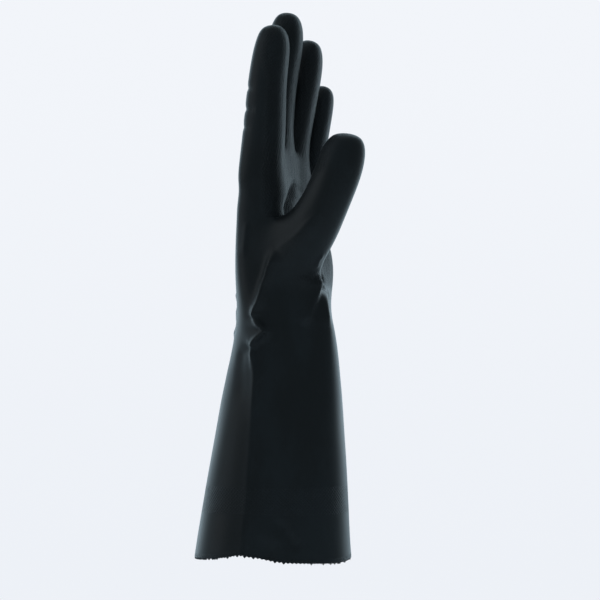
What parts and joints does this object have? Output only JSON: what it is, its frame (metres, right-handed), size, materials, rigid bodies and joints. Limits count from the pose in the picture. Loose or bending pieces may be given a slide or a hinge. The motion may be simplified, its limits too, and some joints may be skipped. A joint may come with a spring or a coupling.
{
  "type": "chemical-resistant glove",
  "caption": "Long gauntlet glove for the left hand, dipped in black rubber, with a flared sleeve, a pinked rim and grip on the palm side, open at the wrist end.",
  "frame": {"origin": "centre of the sleeve's mouth, where the arm goes in", "axes": "+Z along the sleeve and hand to the fingertips, +X out of the palm, -Y to the thumb and +Y to the little finger"},
  "size_m": [0.1266, 0.1119, 0.3559],
  "materials": {
    "rubber": "satin black, with a fine diamond grip on the palm side"
  },
  "bodies": {
    "root": {"glove": "rubber"}
  },
  "joints": []
}
